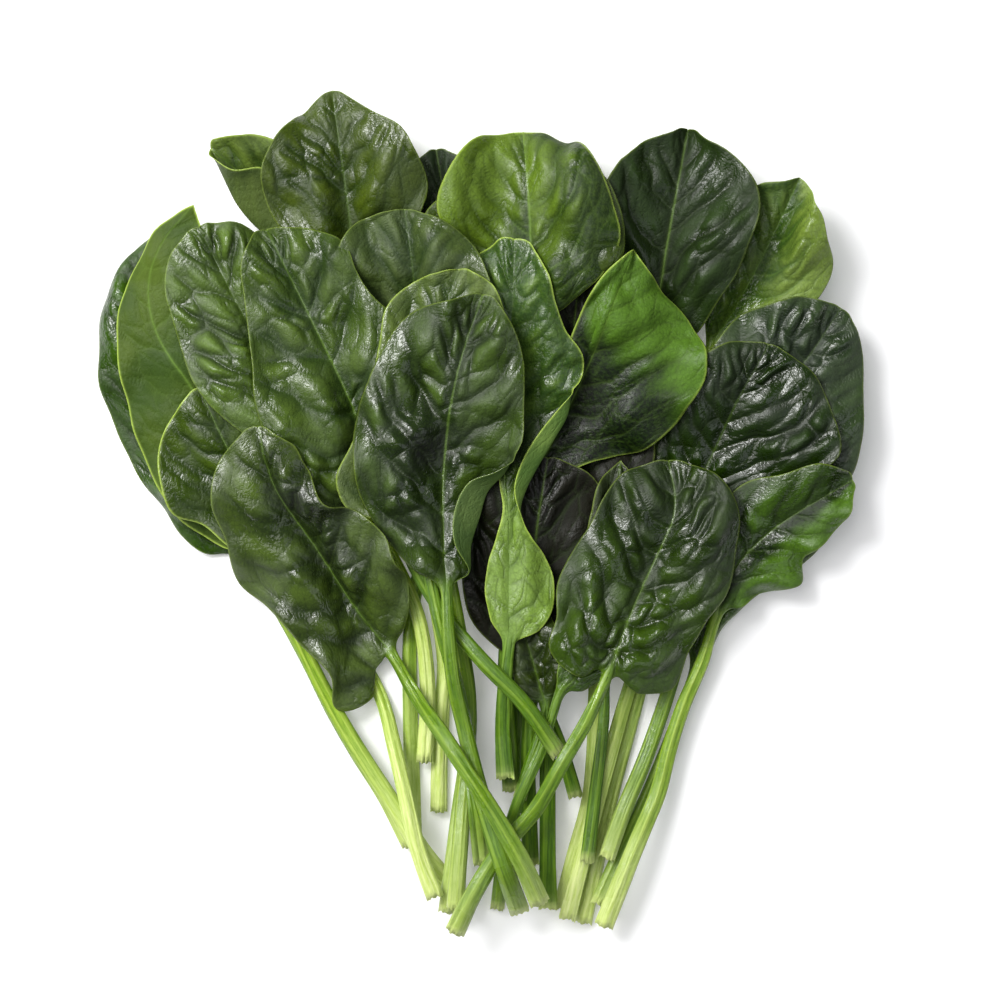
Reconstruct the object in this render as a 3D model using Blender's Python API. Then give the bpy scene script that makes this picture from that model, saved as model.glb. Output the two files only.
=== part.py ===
"""A loose bunch of fresh spinach: twenty-eight leaves on long cut stalks, fanned out and lying flat.

Each leaf is one closed solid, blade and stalk together. Its plan is drawn by four smooth curves (stalk,
midrib, left margin, right margin) and its relief by a few heights along them. The leaves are then laid one by
one, from the lowest to the topmost, each bending over what already lies under it.
"""

from dataclasses import dataclass, field

import bmesh
import bpy
import numpy as np
from mathutils import Vector

MM = 0.001  # lengths below are in millimetres, and Blender's unit is the metre

# Thickness of a leaf.
BLADE_THICKNESS = 1.0
RIB_THICKNESS_AT_TIP = 1.5
RIB_REACH = 2.5  # how far to each side the midrib swells the blade
STALK_HEIGHT_TO_WIDTH = 0.62
STALK_NARROWING = 0.66  # a stalk's width where the blade begins over its width at the cut end

# How leaves lie on each other.
CLEARANCE = 0.5
BEND_REACH = 13.0  # a leaf begins to rise this far before it meets an obstacle
CELL = 1.0  # grid spacing of the height map
SAMPLE_SPACING = 0.6
SETTLING_ROUNDS = 4
FIELD = 340.0  # side of the square that the height map covers
FINE_STEPS = 20  # points that a smooth curve is measured by, for each point it is drawn through

# Rings of a leaf's solid: points across it, and rings along it.
ACROSS = np.array([-1, -2 / 3, -1 / 3, 0, 1 / 3, 2 / 3, 1])
MIDDLE = len(ACROSS) // 2
STALK_RING_SPACING = 13.0
BLADE_RING_SPACING = 9.5
LEAST_STALK_RINGS = 4
LEAST_BLADE_RINGS = 7
LAST_RING = 0.96  # where along the blade the last ring lies; the tip closes it
HOLLOW = 1.5  # power of the distance across by which a blade rises towards its margin
INNER_HEIGHT = 0.35  # height of the line halfway to the crease, as a share of the crease's

# Stations of the height lists, from the base of the blade to its tip.
FLAT = (0, 0, 0, 0, 0)
CUPPED = (0, 4, 7, 6, 1)


@dataclass
class Leaf:
    """Curves run from the cut end to the tip. Heights are at even stations from the blade's base to its tip:
    rise is the midrib's height above the stalk, left and right those of the margins above the midrib."""

    name: str
    tone: str
    stalk: list
    rib: list
    left: list
    right: list
    stalk_width: float = 6.2
    pointed: bool = False
    rise: tuple = (0, 3, 5, 6, 5)
    left_rise: tuple = CUPPED
    right_rise: tuple = CUPPED
    fold_left: list = field(default_factory=list)  # the crease of a margin that is turned over
    fold_right: list = field(default_factory=list)
    fold_rise: tuple = FLAT


# The colour, roughness and metallic value of each tone of leaf.
TONES = {
    "deep": ((0.012, 0.030, 0.012), 0.32, 0.0),
    "dark": ((0.024, 0.060, 0.016), 0.32, 0.0),
    "mid": ((0.050, 0.115, 0.022), 0.35, 0.0),
    "light": ((0.110, 0.240, 0.035), 0.38, 0.0),
    "underside": ((0.090, 0.190, 0.030), 0.50, 0.0),
}

# From the lowest leaf to the topmost.
LEAVES = [
    Leaf(
        "leaf_back_sliver",
        "deep",
        stalk=[(-24, -120), (-25, -81), (-25, -38), (-20, -10), (-14, 29)],
        rib=[(-10, 65), (-11, 86), (-13, 111), (-16, 131)],
        left=[(-19, 72), (-28, 93), (-28, 113), (-24, 127)],
        right=[(-1, 75), (4, 98), (1, 118), (-7, 129)],
        rise=(0, 2, 2, 2, 0),
        left_rise=(0, 1, 3, 3, 1),
        right_rise=(0, 1, 3, 3, 1),
    ),
    Leaf(
        "leaf_back_left_cupped",
        "mid",
        stalk=[(-15, -107), (-15, -95), (-14, -72), (-13, -53), (-17, -28), (-27, 8), (-41, 47)],
        rib=[(-53, 79), (-64, 97), (-75, 112), (-96, 130)],
        left=[(-62, 87), (-66, 107), (-72, 121), (-81, 123), (-90, 122), (-95, 125)],
        right=[(-48, 89), (-52, 109), (-61, 126), (-74, 134), (-86, 136), (-94, 134)],
        fold_left=[(-62, 85), (-75, 99), (-84, 107), (-89, 115), (-92, 121)],
        rise=(0, 1, 3, 7, 12),
        left_rise=(3, 5, 8, 9, 1),
        right_rise=(0, 3, 5, 6, 1),
        fold_rise=(0, 0, 0, 1, 0),
    ),
    Leaf(
        "leaf_back_right_light",
        "light",
        stalk=[(37, -147), (47, -101), (53, -79), (58, -60), (67, -24), (77, 22)],
        rib=[(83, 60), (94, 79), (103, 97), (113, 119)],
        left=[(80, 68), (84, 89), (93, 109), (103, 116)],
        right=[(95, 63), (112, 70), (121, 77), (124, 92), (122, 108), (117, 115)],
        pointed=True,
        rise=(0, 4, 9, 14, 18),
        left_rise=(0, 4, 8, 7, 1),
        right_rise=(0, 6, 7, 6, 0),
    ),
    Leaf(
        "leaf_back_right_dark",
        "deep",
        stalk=[(29, -142), (35, -118), (40, -98), (41, -81), (42, -53), (50, 4)],
        rib=[(62, 58), (64, 79), (68, 105), (74, 137)],
        left=[(53, 62), (43, 79), (39, 98), (43, 119), (56, 129), (65, 135)],
        right=[(74, 61), (84, 75), (94, 93), (98, 107), (94, 121), (82, 133)],
        rise=(0, 6, 9, 12, 9),
        left_rise=(0, 6, 10, 8, 3),
        right_rise=(0, 7, 11, 8, 3),
    ),
    Leaf(
        "leaf_far_left_dark",
        "dark",
        stalk=[(-25, -118), (-35, -99), (-46, -83), (-56, -65), (-64, -49), (-72, -35)],
        rib=[(-80, -22), (-96, 11), (-114, 47), (-119, 79), (-112, 102)],
        left=[
            (-85, -16), (-95, -14), (-103, -13), (-110, -2), (-123, 12),
            (-134, 33), (-136, 54), (-133, 79), (-121, 97),
        ],
        right=[(-72, -10), (-75, 17), (-87, 43), (-97, 68), (-104, 93)],
        stalk_width=7.0,
        rise=(0, 4, 8, 8, 4),
        left_rise=(-1, -3, -6, -6, -3),
        right_rise=(0, 1, 3, 3, 1),
    ),
    Leaf(
        "leaf_left_underside",
        "underside",
        stalk=[(-11, -133), (-21, -120), (-32, -102), (-44, -84), (-54, -67), (-63, -49), (-71, -31)],
        rib=[(-79, -12), (-91, 19), (-102, 44), (-114, 62), (-118, 79), (-114, 95), (-102, 110)],
        left=[(-92, -12), (-110, 1), (-121, 22), (-126, 39), (-129, 68), (-122, 90), (-114, 103)],
        right=[(-70, 2), (-68, 22), (-76, 49), (-87, 73), (-97, 95)],
        stalk_width=6.8,
        pointed=True,
        rise=(0, 3, 6, 9, 12),
        left_rise=(0, 0, -3, -3, 0),
        right_rise=(0, -1, -3, -3, 0),
    ),
    Leaf(
        "leaf_top_left",
        "mid",
        stalk=[(-12, -142), (-7, -102), (-4, -74), (-9, -45), (-20, -6), (-32, 40)],
        rib=[(-45, 84), (-47, 107), (-49, 123), (-53, 151)],
        left=[(-53, 89), (-67, 97), (-75, 109), (-77, 125), (-71, 136), (-62, 145)],
        right=[(-33, 90), (-20, 108), (-20, 123), (-27, 137), (-40, 144), (-45, 148)],
        rise=(0, 6, 10, 12, 8),
        left_rise=(0, 4, 4, 1, 0),
        right_rise=(0, 6, 7, 4, 0),
    ),
    Leaf(
        "leaf_behind_top_centre",
        "mid",
        stalk=[(17, -102), (15, -88), (14, -60), (15, -17), (19, 22)],
        rib=[(21, 61), (20, 82), (20, 107), (18, 128)],
        left=[(7, 69), (-10, 87), (-21, 103), (-19, 109), (-12, 115), (3, 126)],
        right=[(37, 69), (49, 85), (51, 98), (47, 114), (34, 127)],
        rise=(0, 3, 4, 4, 2),
        left_rise=(0, 3, 6, 6, 1),
        right_rise=(0, 4, 8, 6, 1),
    ),
    Leaf(
        "leaf_behind_right_wavy",
        "dark",
        stalk=[(42, -140), (51, -120), (61, -99), (69, -79)],
        rib=[(77, -57), (85, -38), (101, -17), (127, 8)],
        left=[(74, -45), (78, -24), (90, -5), (110, 11)],
        right=[(82, -51), (88, -39), (94, -34), (105, -25), (116, -17), (122, -11), (127, 0)],
        rise=(0, 3, 4, 4, 3),
        left_rise=(0, 3, 4, 3, 1),
        right_rise=(0, 0, -1, -1, 0),
    ),
    Leaf(
        "leaf_far_right_puckered",
        "dark",
        stalk=[(45, -123), (54, -99), (62, -81), (67, -64), (73, -45), (80, -17)],
        rib=[(86, 18), (99, 34), (113, 51), (128, 73)],
        left=[(79, 29), (78, 47), (84, 61), (98, 72), (113, 77)],
        right=[(100, 11), (118, 7), (130, 11), (135, 24), (136, 45), (135, 64)],
        rise=(0, 8, 14, 16, 14),
        left_rise=(0, 3, 4, 3, 0),
        right_rise=(0, 0, 0, -1, -1),
    ),
    Leaf(
        "leaf_right_puckered",
        "dark",
        stalk=[(31, -145), (43, -98), (48, -81), (54, -60), (64, -31)],
        rib=[(74, 4), (82, 20), (91, 40), (102, 60)],
        left=[(65, 10), (62, 22), (67, 38), (75, 53), (89, 61)],
        right=[(92, 2), (114, 11), (127, 19), (125, 32), (121, 45), (112, 55)],
        rise=(0, 6, 9, 10, 8),
        left_rise=(0, 1, 4, 3, 0),
        right_rise=(0, 4, 6, 3, 0),
    ),
    Leaf(
        "leaf_inner_dark_upper",
        "deep",
        stalk=[(18, -126), (17, -81), (20, -53), (25, -30)],
        rib=[(29, -12), (31, 18), (32, 52), (35, 87)],
        left=[(16, -2), (13, 18), (15, 42), (20, 63), (26, 79)],
        right=[(46, -6), (59, 8), (61, 26), (54, 48), (48, 66), (43, 80)],
        rise=(0, 2, 2, 2, 0),
        left_rise=(0, 1, 1, 1, 0),
        right_rise=(0, 1, 3, 1, 0),
    ),
    Leaf(
        "leaf_top_centre",
        "light",
        stalk=[(11, -99), (10, -81), (9, -53), (12, -17), (16, 22)],
        rib=[(19, 66), (18, 89), (17, 112), (15, 136)],
        left=[(7, 75), (-5, 89), (-16, 107), (-12, 122), (-4, 132)],
        right=[(32, 75), (48, 89), (48, 104), (42, 121), (37, 131), (26, 134)],
        rise=(0, 6, 10, 12, 8),
        left_rise=(0, -1, 3, 3, 0),
        right_rise=(0, -1, 0, 0, 0),
    ),
    Leaf(
        "leaf_centre_right_bright",
        "light",
        stalk=[(24, -141), (24, -102), (24, -67), (21, -45), (19, -17)],
        rib=[(18, 11), (29, 33), (40, 57), (54, 93)],
        left=[(20, 26), (25, 45), (32, 63), (39, 78), (47, 88)],
        right=[(31, 15), (46, 20), (61, 24), (74, 39), (80, 53), (74, 68), (61, 83)],
        pointed=True,
        rise=(0, 3, 5, 8, 12),
        left_rise=(0, 1, 1, 0, 0),
        right_rise=(0, 5, 9, 7, 1),
    ),
    Leaf(
        "leaf_inner_dark_lower",
        "deep",
        stalk=[(34, -101), (29, -84), (23, -68)],
        rib=[(18, -54), (18, -30), (20, -6), (24, 20)],
        left=[(8, -50), (-3, -38), (-6, -18), (-4, 0), (3, 13), (13, 20)],
        right=[(33, -48), (48, -36), (52, -14), (44, 8), (34, 18)],
        stalk_width=5.4,
        rise=(0, 2, 3, 3, 2),
        left_rise=(0, 1, 2, 2, 0),
        right_rise=(0, 1, 2, 2, 0),
    ),
    Leaf(
        "leaf_lower_left",
        "mid",
        stalk=[(-16, -136), (-23, -116), (-27, -98), (-30, -86), (-37, -63), (-51, -41)],
        rib=[(-67, -21), (-79, 2), (-90, 24), (-100, 45)],
        left=[(-79, -16), (-92, -9), (-101, -2), (-110, 1), (-114, 15), (-114, 26), (-107, 38)],
        right=[(-60, -7), (-63, 15), (-74, 33), (-87, 43)],
        rise=(0, 3, 4, 4, 2),
        left_rise=(0, 0, 1, 1, 0),
        right_rise=(0, 1, 3, 1, 0),
    ),
    Leaf(
        "leaf_left_puckered",
        "dark",
        stalk=[(-20, -89), (-19, -67), (-20, -45), (-29, -21)],
        rib=[(-47, 11), (-64, 40), (-83, 69), (-100, 102)],
        left=[(-58, 13), (-71, 21), (-86, 30), (-100, 44), (-108, 65), (-112, 84), (-107, 97)],
        right=[(-43, 21), (-46, 42), (-56, 66), (-69, 89), (-82, 101), (-90, 104)],
        rise=(0, 4, 6, 6, 3),
        left_rise=(0, 0, 1, 0, 0),
        right_rise=(0, 4, 6, 3, 0),
    ),
    Leaf(
        "leaf_under_twisted",
        "dark",
        stalk=[(14, -101), (17, -91), (21, -79)],
        rib=[(23, -68), (19, -54), (15, -40), (13, -24)],
        left=[(14, -66), (12, -57), (10, -45), (9, -34)],
        right=[(28, -63), (29, -51), (26, -38)],
        stalk_width=5.0,
        rise=(0, 2, 2, 0, 0),
        left_rise=(0, 1, 1, 1, 0),
        right_rise=(0, 1, 1, 1, 0),
    ),
    Leaf(
        "leaf_olive_sliver",
        "mid",
        stalk=[(38, -124), (41, -99), (44, -74)],
        rib=[(45, -48), (46, -28), (47, -5), (50, 19)],
        left=[(38, -39), (35, -22), (38, -3), (41, 11)],
        right=[(57, -38), (64, -19), (62, 4)],
        stalk_width=5.2,
        pointed=True,
        rise=(0, 2, 3, 3, 2),
        left_rise=(0, 1, 3, 3, 0),
        right_rise=(0, 1, 3, 3, 0),
    ),
    Leaf(
        "leaf_small_front_right",
        "dark",
        stalk=[(6, -142), (8, -124), (11, -109), (15, -98), (24, -78)],
        rib=[(28, -64), (36, -54), (47, -42), (60, -28)],
        left=[(27, -57), (30, -45), (42, -32)],
        right=[(35, -64), (43, -59), (56, -49), (64, -37)],
        stalk_width=5.2,
        rise=(0, 2, 2, 0, 0),
        left_rise=(0, 1, 3, 1, 0),
        right_rise=(0, 1, 1, 1, 0),
    ),
    Leaf(
        "leaf_centre_twisted",
        "mid",
        stalk=[(9, -94), (8, -80), (8, -67)],
        rib=[(10, -46), (10, -28), (10, -6), (9, 15), (9, 40), (11, 68), (12, 97)],
        left=[(3, -36), (2, -22), (6, -7), (8, 2), (5, 18), (2, 40), (0, 63), (-2, 81), (0, 94)],
        right=[
            (18, -44), (25, -36), (26, -21), (18, -9), (14, 1), (12, 10), (15, 19),
            (24, 33), (33, 43), (37, 53), (29, 67), (25, 80), (20, 93),
        ],
        fold_right=[
            (13, -41), (19, -33), (18, -21), (14, -10), (14, 3), (21, 18),
            (31, 37), (30, 47), (28, 58), (22, 72), (19, 84), (16, 92),
        ],
        rise=(0, 4, 3, 3, 6, 10, 10),
        left_rise=(0, 0, 1, 3, 4, 3, 0),
        right_rise=(0, 0, 7, 11, 7, 1, 0),
        fold_rise=(0, 1, 3, 6, 5, 2, 0),
    ),
    Leaf(
        "leaf_behind_front_centre",
        "mid",
        stalk=[(-9, -140), (-6, -102), (-4, -67), (-12, -17)],
        rib=[(-19, 29), (-23, 58), (-24, 86), (-27, 108)],
        left=[(-31, 33), (-42, 50), (-49, 70), (-51, 90), (-46, 102), (-36, 106)],
        right=[(-7, 33), (4, 52), (6, 73), (0, 91), (-12, 103)],
        rise=(0, 3, 4, 6, 4),
        left_rise=(0, 4, 6, 6, 1),
        right_rise=(0, 4, 4, 3, 0),
    ),
    Leaf(
        "leaf_left_middle",
        "mid",
        stalk=[(28, -85), (21, -75), (11, -61), (-1, -50), (-14, -34), (-23, -20)],
        rib=[(-32, 6), (-47, 42), (-61, 71), (-76, 101)],
        left=[(-43, -1), (-58, 4), (-70, 18), (-79, 36), (-80, 50), (-83, 72), (-85, 89), (-83, 97)],
        right=[(-27, 18), (-24, 38), (-26, 61), (-33, 74), (-43, 82), (-48, 94), (-62, 101)],
        rise=(0, 4, 6, 6, 3),
        left_rise=(0, 1, 3, 3, 1),
        right_rise=(0, 6, 8, 7, 1),
    ),
    Leaf(
        "leaf_above_front_centre",
        "mid",
        stalk=[(1, -124), (-2, -99), (-7, -67), (-15, -35)],
        rib=[(-21, -3), (-20, 26), (-16, 58), (-8, 86)],
        left=[(-34, -2), (-46, 1), (-52, 9), (-47, 22), (-40, 38), (-36, 58), (-31, 77), (-21, 83)],
        right=[(-10, 5), (4, 26), (10, 50), (8, 73), (1, 84)],
        rise=(0, 2, 3, 4, 4),
        left_rise=(0, 3, 3, 1, 0),
        right_rise=(0, 1, 3, 1, 0),
    ),
    Leaf(
        "leaf_right_wavy",
        "mid",
        stalk=[(44, -147), (53, -124), (64, -98), (70, -75), (79, -54)],
        rib=[(84, -36), (90, -20), (106, -4), (132, 12)],
        left=[(80, -24), (82, -5), (91, 8), (103, 13), (116, 17), (127, 18)],
        right=[(89, -36), (98, -30), (108, -27), (116, -23), (115, -16), (123, -9), (130, 0), (133, 7)],
        stalk_width=7.0,
        rise=(0, 6, 10, 14, 14),
        left_rise=(0, 4, 6, 3, 0),
        right_rise=(0, 1, -1, -1, 0),
    ),
    Leaf(
        "leaf_front_right",
        "dark",
        stalk=[(-9, -148), (5, -121), (14, -112), (24, -97), (31, -83), (40, -69)],
        rib=[(45, -57), (53, -36), (62, -16), (69, 2), (67, 19)],
        left=[(37, -55), (27, -54), (24, -45), (27, -36), (28, -21), (37, -7), (43, 5), (54, 17)],
        right=[
            (50, -56), (56, -63), (62, -66), (73, -57), (76, -40), (84, -36), (90, -16), (91, 2), (81, 16),
        ],
        stalk_width=6.8,
        rise=(0, 4, 6, 8, 4),
        left_rise=(0, 1, 3, 3, 0),
        right_rise=(0, 1, 3, 1, 0),
    ),
    Leaf(
        "leaf_front_centre",
        "dark",
        stalk=[(14, -141), (7, -120), (0, -98), (-5, -78), (-9, -61), (-11, -44)],
        rib=[(-12, -26), (-13, -10), (-13, 15), (-10, 40), (-5, 60), (1, 77)],
        left=[(-24, -19), (-34, -9), (-43, 8), (-45, 26), (-40, 45), (-29, 66), (-13, 75)],
        right=[(-3, -24), (-9, -10), (-9, 1), (-4, 11), (6, 15), (14, 20), (16, 36), (15, 56), (9, 72)],
        fold_right=[(-5, -25), (-4, -14), (0, 0), (4, 11), (9, 16), (10, 33), (9, 50), (6, 66)],
        stalk_width=7.0,
        rise=(0, 3, 4, 5, 4),
        left_rise=(0, 4, 8, 7, 1),
        right_rise=(5, 8, 11, 7, 1),
        fold_rise=(0, 2, 4, 3, 1),
    ),
    Leaf(
        "leaf_front_left",
        "dark",
        stalk=[(21, -137), (11, -115), (-1, -96), (-9, -83), (-18, -72), (-26, -60)],
        rib=[(-32, -50), (-46, -32), (-60, -10), (-73, 10), (-78, 31)],
        left=[
            (-35, -58), (-41, -69), (-49, -71), (-55, -60), (-58, -51), (-66, -45),
            (-75, -34), (-84, -31), (-88, -16), (-95, 5), (-90, 23),
        ],
        right=[(-29, -43), (-25, -36), (-27, -22), (-31, -15), (-41, -1), (-52, 4), (-63, 15), (-69, 25)],
        stalk_width=6.8,
        rise=(0, 4, 6, 6, 4),
        left_rise=(0, 3, 3, 3, 0),
        right_rise=(0, 4, 7, 6, 1),
    ),
]


def smooth_values(knots, values, wanted):
    """values at knots, joined by smooth cubic stretches, read at wanted."""
    slopes = np.gradient(values, knots, axis=0)
    first = np.clip(np.searchsorted(knots, wanted, "right") - 1, 0, len(knots) - 2)
    gap = knots[first + 1] - knots[first]
    u = (wanted - knots[first]) / gap
    if values.ndim > 1:
        u, gap = u[:, None], gap[:, None]
    start = (2 * u**3 - 3 * u**2 + 1) * values[first] + (u**3 - 2 * u**2 + u) * gap * slopes[first]
    end = (3 * u**2 - 2 * u**3) * values[first + 1] + (u**3 - u**2) * gap * slopes[first + 1]
    return start + end


def smooth_curve(points, shares, beyond=()):
    """Points of a smooth curve through points, at these shares of its length. It ends as if it went on to
    beyond."""
    through = np.array([*points, *beyond], float)
    steps = np.sqrt(np.linalg.norm(np.diff(through, axis=0), axis=1))
    knots = np.concatenate([[0], np.cumsum(steps)])
    fine = smooth_values(knots, through, np.linspace(0, knots[len(points) - 1], FINE_STEPS * len(points)))
    lengths = np.concatenate([[0], np.cumsum(np.linalg.norm(np.diff(fine, axis=0), axis=1))])
    wanted = np.asarray(shares) * lengths[-1]
    return np.stack([np.interp(wanted, lengths, axis) for axis in fine.T], axis=1)


def along(heights, shares):
    """A height list, with even stations, read at these shares of the blade's length."""
    return smooth_values(np.linspace(0, 1, len(heights)), np.array(heights, float), shares)


def path_length(points):
    return np.linalg.norm(np.diff(np.array(points, float), axis=0), axis=1).sum()


def leftward(directions):
    """Unit vectors in plan, a quarter turn to the left of each direction."""
    sideways = np.stack([-directions[:, 1], directions[:, 0]], axis=1)
    return sideways / np.linalg.norm(sideways, axis=1, keepdims=True)


def stalk_rings(leaf):
    """Middle surface and half thickness of the stalk's rings: flat ovals that narrow towards the blade."""
    path = leaf.stalk + leaf.rib[:2]
    count = max(LEAST_STALK_RINGS, round(path_length(leaf.stalk) / STALK_RING_SPACING))
    reach = path_length(leaf.stalk + leaf.rib[:1]) / path_length(path)
    centres = smooth_curve(path, np.linspace(0, reach, count))
    sideways = leftward(np.gradient(centres, axis=0))
    half_width = leaf.stalk_width / 2 * np.linspace(1, STALK_NARROWING, count)
    half_height = half_width * STALK_HEIGHT_TO_WIDTH
    angle = ACROSS * np.pi / 2
    middle = np.zeros((count, len(ACROSS), 3))
    middle[:, :, :2] = centres[:, None] - sideways[:, None] * (half_width[:, None] * np.sin(angle))[..., None]
    middle[:, :, 2] = half_height[:, None]
    return middle, half_height[:, None] * np.cos(angle)


def blade_side(leaf, side, base, rib, shares):
    """The three lines from the midrib's side out to one margin: inner, crease and margin."""
    margin_points, margin_rise, fold, other_margin = {
        "left": (leaf.left, leaf.left_rise, leaf.fold_left, leaf.right),
        "right": (leaf.right, leaf.right_rise, leaf.fold_right, leaf.left),
    }[side]
    beyond = [] if leaf.pointed else [other_margin[-1]]
    margin = smooth_curve([base] + margin_points + [leaf.rib[-1]], shares, beyond)
    margin_height = along(margin_rise, shares)
    if fold:
        crease = smooth_curve([base] + fold + [leaf.rib[-1]], shares)
        crease_height = along(leaf.fold_rise, shares)
    else:
        crease = rib + (margin - rib) * ACROSS[-2]
        crease_height = margin_height * ACROSS[-2] ** HOLLOW
    inner = (rib + crease) / 2
    return [(inner, crease_height * INNER_HEIGHT), (crease, crease_height), (margin, margin_height)]


def blade_rings(leaf, stalk_middle, stalk_half):
    """Middle surface and half thickness of the blade's rings, and the height of its tip."""
    length = path_length(leaf.rib)
    count = max(LEAST_BLADE_RINGS, round(length / BLADE_RING_SPACING))
    shares = np.linspace(0, LAST_RING, count + 1)[1:]
    rib = smooth_curve(leaf.rib, shares)
    rib_height = stalk_middle[-1, MIDDLE, 2] + along(leaf.rise, shares)
    left = blade_side(leaf, "left", stalk_middle[-1, 0, :2], rib, shares)
    right = blade_side(leaf, "right", stalk_middle[-1, -1, :2], rib, shares)
    middle = np.zeros((count, len(ACROSS), 3))
    for column, (line, height) in enumerate(left[::-1] + [(rib, 0)] + right):
        middle[:, column, :2] = line
        middle[:, column, 2] = rib_height + height
    rib_half = stalk_half[-1, MIDDLE] + (RIB_THICKNESS_AT_TIP / 2 - stalk_half[-1, MIDDLE]) * np.sqrt(shares)
    swelling = np.exp(-((np.linalg.norm(middle[:, :, :2] - rib[:, None], axis=2) / RIB_REACH) ** 2))
    half = BLADE_THICKNESS / 2 + (rib_half[:, None] - BLADE_THICKNESS / 2) * swelling
    half[:, [0, -1]] = 0
    tip = Vector((*leaf.rib[-1], rib_height[-1]))
    return middle, half, tip


def upward_normals(middle):
    """Unit normals of the middle surface, on the side that faces up along the stalk. At a crease the normal
    halves the angle between the blade and its flap."""
    onward = np.gradient(middle, axis=0)
    steps = np.diff(middle, axis=1)
    steps /= np.linalg.norm(steps, axis=2, keepdims=True)
    across = np.concatenate([steps[:, :1], steps[:, :-1] + steps[:, 1:], steps[:, -1:]], axis=1)
    normals = np.cross(across, onward)
    return normals / np.linalg.norm(normals, axis=2, keepdims=True)


class LeafSolid:
    """A leaf as rings of points, which can be raised point by point."""

    def __init__(self, leaf):
        stalk_middle, stalk_half = stalk_rings(leaf)
        blade_middle, blade_half, tip = blade_rings(leaf, stalk_middle, stalk_half)
        self.middle = np.concatenate([stalk_middle, blade_middle])
        self.half = np.concatenate([stalk_half, blade_half])
        self.tip = np.array(tip)
        self.cut = self.middle[0, MIDDLE].copy()
        self.faces = ring_faces(len(self.middle), 2 * len(ACROSS) - 2)

    def points(self):
        """The ring points, ring by ring (left margin, over the top, right margin, back underneath), then the
        cut end's centre and the tip."""
        offset = upward_normals(self.middle) * self.half[..., None]
        top = self.middle + offset
        under = (self.middle - offset)[:, -2:0:-1]
        rings = np.concatenate([top, under], axis=1)
        return np.concatenate([rings.reshape(-1, 3), [self.cut, self.tip]])

    def raise_by(self, lift_at):
        """Adds lift_at(plan points) to every height."""
        self.middle[..., 2] += lift_at(self.middle[..., :2].reshape(-1, 2)).reshape(self.middle.shape[:2])
        for end in (self.cut, self.tip):
            end[2] += lift_at(end[None, :2])[0]


def ring_faces(rings, around):
    """Triangles of a closed skin over the rings, with a fan over each end. The underside's diagonals run as
    the top's do, so that the skin keeps its thickness where it is twisted."""
    faces = []
    cut, tip = rings * around, rings * around + 1
    for i in range(around):
        j = (i + 1) % around
        faces.append((cut, j, i))
        for ring in range(rings - 1):
            a, b = ring * around, (ring + 1) * around
            if i < around // 2:
                faces += [(a + i, a + j, b + j), (a + i, b + j, b + i)]
            else:
                faces += [(a + i, a + j, b + i), (a + j, b + j, b + i)]
        last = (rings - 1) * around
        faces.append((tip, last + i, last + j))
    return np.array(faces)


def samples(points, faces):
    """Points spread over the triangles, close enough together to leave no cell of the height map out."""
    corners = points[faces]
    longest = max(np.linalg.norm(corners - np.roll(corners, 1, axis=1), axis=2).max(), SAMPLE_SPACING)
    steps = int(np.ceil(longest / SAMPLE_SPACING))
    i, j = np.meshgrid(np.arange(steps + 1), np.arange(steps + 1))
    inside = i + j <= steps
    u, v = i[inside] / steps, j[inside] / steps
    weights = np.stack([1 - u - v, u, v], axis=1)
    return np.einsum("sc,fcx->fsx", weights, corners).reshape(-1, 3)


def neighbourhood(reach):
    """Offsets in cells of a disc."""
    cells = int(round(reach / CELL))
    span = range(-cells, cells + 1)
    return [(i, j) for i in span for j in span if i * i + j * j <= cells * cells + 1]


def shifted(grid, i, j):
    return np.roll(grid, (i, j), axis=(0, 1))


class Heap:
    """The height of what already lies on the ground, cell by cell."""

    def __init__(self):
        self.cells = int(FIELD / CELL)
        self.height = np.zeros((self.cells, self.cells))

    def cell(self, plan):
        return tuple(np.clip(((plan + FIELD / 2) / CELL).astype(int), 0, self.cells - 1).T)

    def reach_of(self, solid, pick, empty):
        """The solid's lowest (np.minimum) or highest (np.maximum) point in each cell."""
        grid = np.full_like(self.height, empty)
        spread = samples(solid.points(), solid.faces)
        pick.at(grid, self.cell(spread[:, :2]), spread[:, 2])
        return grid

    def shortfall(self, solid):
        """How much higher the solid has to be in each cell, and minus infinity where it is absent."""
        around = np.max([shifted(self.height, i, j) for i in (-1, 0, 1) for j in (-1, 0, 1)], axis=0)
        floor = np.where(around > 0, around + CLEARANCE, 0)
        return floor - self.reach_of(solid, np.minimum, np.inf)

    def lay(self, solid):
        """Lowers or raises the solid until it lies on the heap, bending where it has to."""
        ground_gap = solid.points()[:, 2].min()
        solid.raise_by(lambda plan: np.full(len(plan), -ground_gap))
        for _ in range(SETTLING_ROUNDS):
            need = self.shortfall(solid)
            if need.max() <= 0:
                break
            solid.raise_by(self.bend(np.maximum(need, np.where(np.isfinite(need), 0, -np.inf))))
        rest = max(self.shortfall(solid).max(), 0)
        solid.raise_by(lambda plan: np.full(len(plan), rest))
        self.height = np.maximum(self.height, self.reach_of(solid, np.maximum, -np.inf))

    def bend(self, need):
        """A smooth lift that is nowhere under need: the largest need nearby, averaged over as wide a disc."""
        disc = neighbourhood(BEND_REACH)
        largest = np.full_like(need, -np.inf)
        for i, j in disc:
            largest = np.maximum(largest, shifted(need, i, j))
        known = np.isfinite(largest)
        filled = np.where(known, largest, 0)
        total = sum(shifted(filled, i, j) for i, j in disc)
        count = sum(shifted(known.astype(float), i, j) for i, j in disc)
        lift = total / np.maximum(count, 1)
        return lambda plan: lift[self.cell(plan)]


def tone_material(tone):
    colour, roughness, metallic = TONES[tone]
    material = bpy.data.materials.new("spinach_" + tone)
    material.use_nodes = True
    shader = material.node_tree.nodes["Principled BSDF"]
    shader.inputs["Base Color"].default_value = (*colour, 1)
    shader.inputs["Roughness"].default_value = roughness
    shader.inputs["Metallic"].default_value = metallic
    return material


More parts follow.
